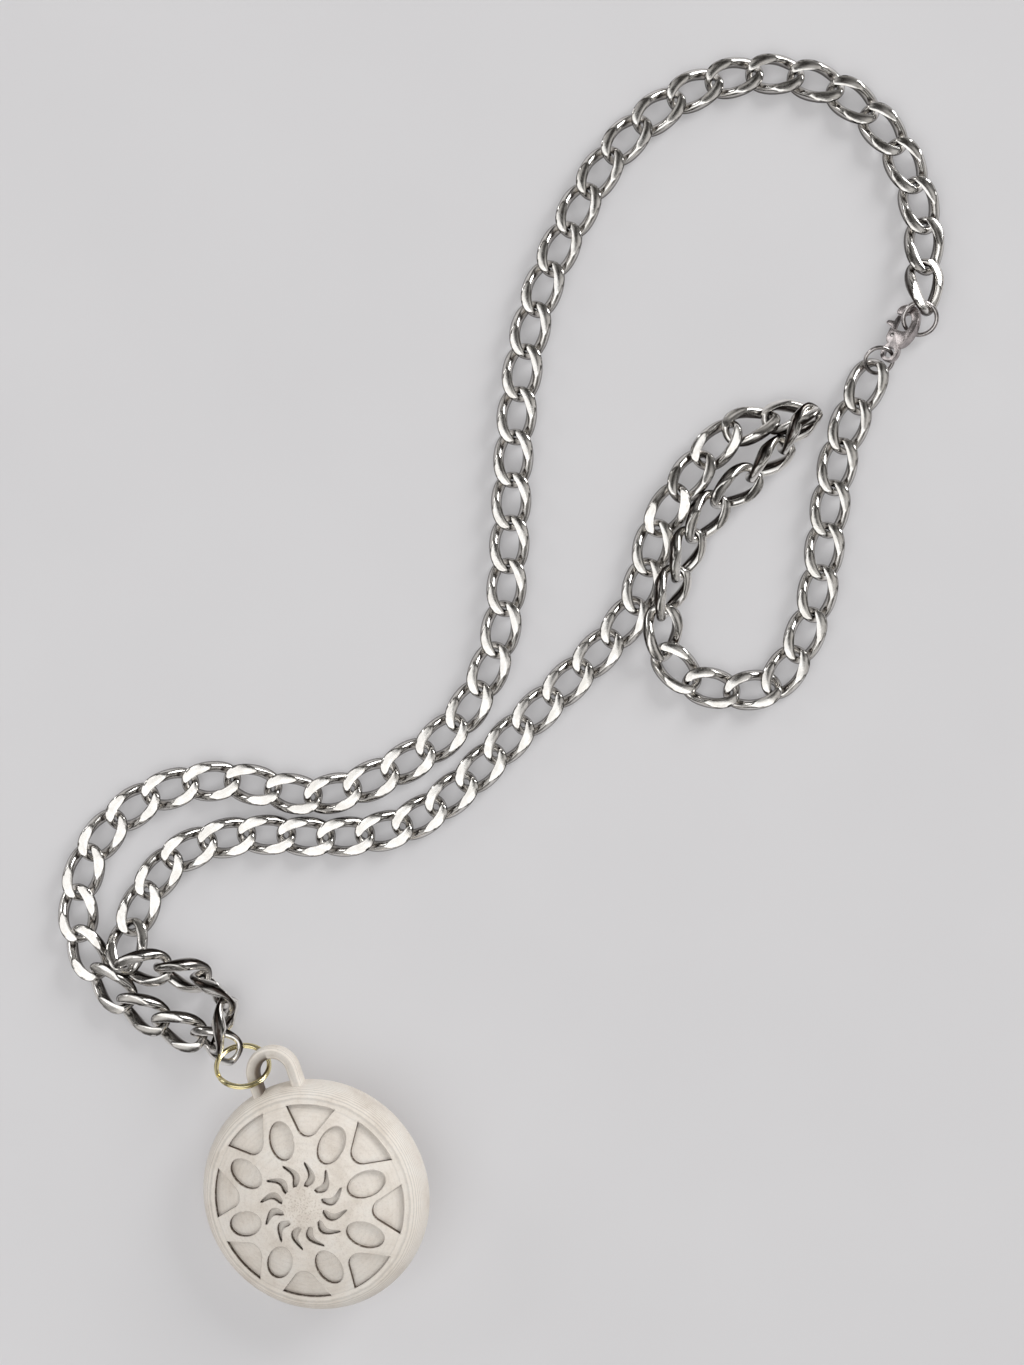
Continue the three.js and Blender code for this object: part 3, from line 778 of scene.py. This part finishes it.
def add_face(bm, painted_shade):
    """The domed front with its engraved pockets. Returns its rim, in order."""
    outlines = pocket_outlines()
    points, edges = face_points(outlines)
    flat, _, triangles, *_ = delaunay_2d_cdt(points, edges, [], 0, 1e-5)
    tops, floors = {}, {}

    def corner(index, deep):
        known = floors if deep else tops
        if index not in known:
            p = flat[index]
            known[index] = bm.verts.new((p.x, p.y, dome_height(p) - POCKET_DEPTH * deep))
        return known[index]

    sides = {}
    for triangle in triangles:
        middle = sum((flat[i] for i in triangle), Vector((0, 0))) / 3
        reach = middle.length
        deep = HUB_RADIUS < reach < FAN[0] + 0.1 and any(inside(middle, o) for o in outlines)
        bm.faces.new([corner(i, deep) for i in triangle])
        for i in range(3):
            a, b = triangle[i], triangle[(i + 1) % 3]
            sides.setdefault((min(a, b), max(a, b)), []).append(deep)
    # Painted shade: a thin band round each pocket's edge is painted part way dark, and the pockets'
    # walls fully dark.
    for (a, b), depths in sides.items():
        if len(depths) == 2 and depths[0] != depths[1]:
            for loop in corner(a, 0).link_loops:
                loop[painted_shade] = LIP_SHADE
            wall = bm.faces.new((corner(a, 0), corner(b, 0), corner(b, 1), corner(a, 1)))
            for loop in wall.loops:
                loop[painted_shade] = 1.0
    return [tops[i] for i in range(DISC_STEPS)]


def shell_profile():
    """Radius and height from below the front's rim, round the edge, to the back."""
    low = BACK_FLAT_Z + (BACK_EDGE - BACK_FLAT_RADIUS) ** 2 * BACK_CURVE
    width = DISC_RADIUS - SHOULDER_RADIUS
    profile = []
    for degrees in range(84, -79, -6):
        a = math.radians(degrees)
        half = SHOULDER_Z if degrees > 0 else -low
        profile.append((SHOULDER_RADIUS + width * math.cos(a), half * math.sin(a)))
    for r in (14.8, 13.5, 12, 10.5, 9, BACK_FLAT_RADIUS):
        profile.append((r, BACK_FLAT_Z + (r - BACK_FLAT_RADIUS) ** 2 * BACK_CURVE))
    return profile


def add_shell(bm, rim):
    """The shoulder, the edge and the back, sewn on to the front's rim."""
    before = rim
    for r, z in shell_profile():
        ring = []
        for i in range(DISC_STEPS):
            t = i / DISC_STEPS * math.tau
            ring.append(bm.verts.new((r * math.cos(t), r * math.sin(t), z)))
        for i in range(DISC_STEPS):
            k = (i + 1) % DISC_STEPS
            bm.faces.new((before[i], ring[i], ring[k], before[k]))
        before = ring
    bm.faces.new(before)


def bail_rings():
    """Sections of the loop: a flattened bar that arches from the rim and back."""
    foot = DISC_RADIUS - BAIL_SUNK
    spine = [(BAIL_MEAN_RADIUS, foot + k * BAIL_FOOT_STEP) for k in range(4)]
    for i in range(41):
        t = i / 40 * math.pi
        spine.append((BAIL_MEAN_RADIUS * math.cos(t), BAIL_CENTRE + BAIL_MEAN_RADIUS * math.sin(t)))
    spine += [(-BAIL_MEAN_RADIUS, foot + k * BAIL_FOOT_STEP) for k in (3, 2, 1, 0)]
    rings = []
    for i, (x, y) in enumerate(spine):
        before, after = spine[max(0, i - 1)], spine[min(len(spine) - 1, i + 1)]
        way = Vector((after[0] - before[0], after[1] - before[1], 0)).normalized()
        out = Vector((way.y, -way.x, 0))
        ring = []
        for j in range(BAIL_SIDES):
            t = j / BAIL_SIDES * math.tau
            across = math.copysign(abs(math.cos(t)) ** BAIL_SQUARENESS, math.cos(t))
            deep = math.copysign(abs(math.sin(t)) ** BAIL_SQUARENESS, math.sin(t))
            ring.append(Vector((x, y, 0)) + out * (BAIL_HALF_THICK * across)
                        + Vector((0, 0, BAIL_HALF_DEPTH * deep)))
        rings.append(ring)
    return rings


def pendant_place():
    turn, lean, toward = DISC_TURN
    toward = math.radians(toward)
    hinge = Vector((-math.sin(toward), math.cos(toward), 0))
    turned = (Matrix.Rotation(math.radians(lean), 4, hinge)
              @ Matrix.Rotation(math.radians(turn), 4, "Z"))
    return Matrix.Translation(FRAME_SHIFT + Vector(DISC_MIDDLE)) @ turned


def pendant_object():
    bm = bmesh.new()
    painted_shade = bm.loops.layers.float.new("painted_shade")
    add_shell(bm, add_face(bm, painted_shade))
    lift = Matrix.Rotation(math.radians(BAIL_TURN), 4, "Z") @ Matrix.Translation((0, 0, BAIL_RISE))
    rows = add_skin(bm, [[lift @ p for p in ring] for ring in bail_rings()])
    # Painted shade inside one leg of the loop.
    for row in rows[len(rows) // 2:]:
        for vert, amount in zip(row[BAIL_SHADE_FROM:], BAIL_SHADE):
            for loop in vert.link_loops:
                loop[painted_shade] = amount
    return add_mesh("look_pendant", bm, pendant_place())


def make_printed_plastic():
    """Cream printed plastic: layer lines, strongest on the shoulder, and brown painted shade
    on the pockets' walls, in a band round their edges and inside one leg of the loop."""
    n = Nodes("printed_cream_look")
    place = n.coordinates()
    layers = n.add("TexWave", Scale=1050.0, Distortion=1.2, Detail=2.0, Detail_Scale=0.6)
    layers.bands_direction = "Z"
    n.link(place, layers.inputs["Vector"])
    flat = n.add("VectorMath")
    flat.operation = "MULTIPLY"
    flat.inputs[1].default_value = (1, 1, 0)
    n.link(place, flat.inputs[0])
    reach = n.add("VectorMath")
    reach.operation = "LENGTH"
    n.link(flat.outputs["Vector"], reach.inputs[0])
    span = n.add("MapRange")
    span.inputs["From Min"].default_value = 0.0149
    span.inputs["From Max"].default_value = 0.0157
    span.inputs["To Min"].default_value = 0.16
    n.link(reach.outputs["Value"], span.inputs["Value"])
    lines = n.mix(span.outputs["Result"], (1, 1, 1), n.ramp(layers.outputs["Fac"],
                                                          (0.0, 0.80), (0.6, 1.0)))
    grain = n.noise(place, 1800.0, 4.0, 0.6)
    cloud = n.noise(place, 190.0, 5.0, 0.65)
    colour = n.ramp(cloud, (0.30, (0.765, 0.69, 0.605)), (0.50, (0.90, 0.835, 0.755)),
                    (0.72, (0.94, 0.895, 0.83)))
    colour = n.mix(1.0, colour, lines, "MULTIPLY")
    pits = n.ramp(n.noise(place, 3400.0, 2.0, 0.5), (0.36, (0.62, 0.57, 0.52)), (0.47, (1, 1, 1)))
    near_rays = n.ramp(reach.outputs["Value"], (0.0026, 0.75), (0.0031, 0.22), (0.0078, 0.20),
                       (0.0090, 0.12))
    colour = n.mix(near_rays, colour, n.mix(1.0, colour, pits, "MULTIPLY"))
    # Painted shade: a value on the mesh mixes a dark brown into the colour.
    painted_shade = n.add("Attribute")
    painted_shade.attribute_name = "painted_shade"
    shade_brown = n.ramp(grain, (0.35, (0.07, 0.045, 0.03)), (0.7, (0.13, 0.09, 0.065)))
    n.link(n.mix(painted_shade.outputs["Fac"], colour, shade_brown), n.shader.inputs["Base Color"])
    rough = n.bump(pits, 0.35, 0.00008, n.bump(grain, 0.25, 0.00008))
    n.link(n.bump(lines, 0.5, 0.00012, rough), n.shader.inputs["Normal"])
    n.link(n.ramp(cloud, (0.3, 0.42), (0.7, 0.58)), n.shader.inputs["Roughness"])
    return n.material


add_piece(pendant_object(), make_printed_plastic(), "pendant", "printed_cream", "pendant")

# ---------------------------------------------------------------------------
# Floor and light.

FLOOR_HALF_SIDE = 9000.0
FLOOR_GLOW = 0.205

def soft_light(name, place, size, radiance, aim=None, turn=0.0, glossy=True):
    """A square lamp that shines with an even radiance, straight down unless it is aimed.
    Without glossy it lights the floor but isn't mirrored in the metal."""
    data = bpy.data.lights.new(name, "AREA")
    data.shape = "SQUARE"
    data.size = size
    data.energy = radiance * math.pi * size ** 2
    light = bpy.data.objects.new(name, data)
    light.location = place
    light.visible_glossy = glossy
    if aim is not None:
        light.rotation_euler = (Vector(place) - Vector(aim)).to_track_quat("Z", "Y").to_euler()
    else:
        light.rotation_euler = (0, 0, math.radians(turn))
    bpy.context.scene.collection.objects.link(light)


def make_floor():
    """Pale paper that glows a little, as on a light table, so that shadows stay soft."""
    n = Nodes("floor_paper")
    grain = n.noise(n.coordinates(), 30.0, 2.0, 0.5)
    n.link(n.ramp(grain, (0.3, (0.50, 0.495, 0.505)), (0.7, (0.515, 0.51, 0.52))),
           n.shader.inputs["Base Color"])
    n.shader.inputs["Emission Color"].default_value = (1.0, 0.985, 0.995, 1.0)
    n.shader.inputs["Emission Strength"].default_value = FLOOR_GLOW
    n.shader.inputs["Roughness"].default_value = 0.9
    n.shader.inputs["Specular IOR Level"].default_value = 0.1
    bm = bmesh.new()
    bmesh.ops.create_grid(bm, x_segments=2, y_segments=2, size=FLOOR_HALF_SIDE)
    floor = add_mesh("floor", bm)
    floor.data.materials.append(n.material)


def make_world():
    """A room of dark and pale patches for the metal to mirror."""
    world = bpy.data.worlds.new("room")
    bpy.context.scene.world = world
    world.use_nodes = True
    tree = world.node_tree
    noise = tree.nodes.new("ShaderNodeTexNoise")
    noise.inputs["Scale"].default_value = 2.6
    noise.inputs["Detail"].default_value = 2.0
    ramp = tree.nodes.new("ShaderNodeValToRGB")
    ramp.color_ramp.elements[0].position = 0.46
    ramp.color_ramp.elements[0].color = (0.016, 0.014, 0.012, 1)
    ramp.color_ramp.elements[1].position = 0.66
    ramp.color_ramp.elements[1].color = (0.66, 0.645, 0.63, 1)
    where = tree.nodes.new("ShaderNodeTexCoord")
    tree.links.new(where.outputs["Generated"], noise.inputs["Vector"])
    tree.links.new(noise.outputs["Fac"], ramp.inputs["Fac"])
    tree.links.new(ramp.outputs["Color"], tree.nodes["Background"].inputs["Color"])


make_floor()
make_world()
soft_light("window", (-0.38, -0.38, 0.9), 1.2, 1.12, turn=45)
soft_light("fill_right", (0.9, 0.8, 0.6), 0.6, 9.0, aim=(0, 0, 0))
soft_light("ceiling", (0.0, 0.0, 1.3), 2.6, 0.21, glossy=False)
soft_light("fill_left", (-1.0, 0.7, 0.5), 0.4, 3.5, aim=(0, 0, 0))
bpy.context.scene.view_settings.view_transform = "Standard"
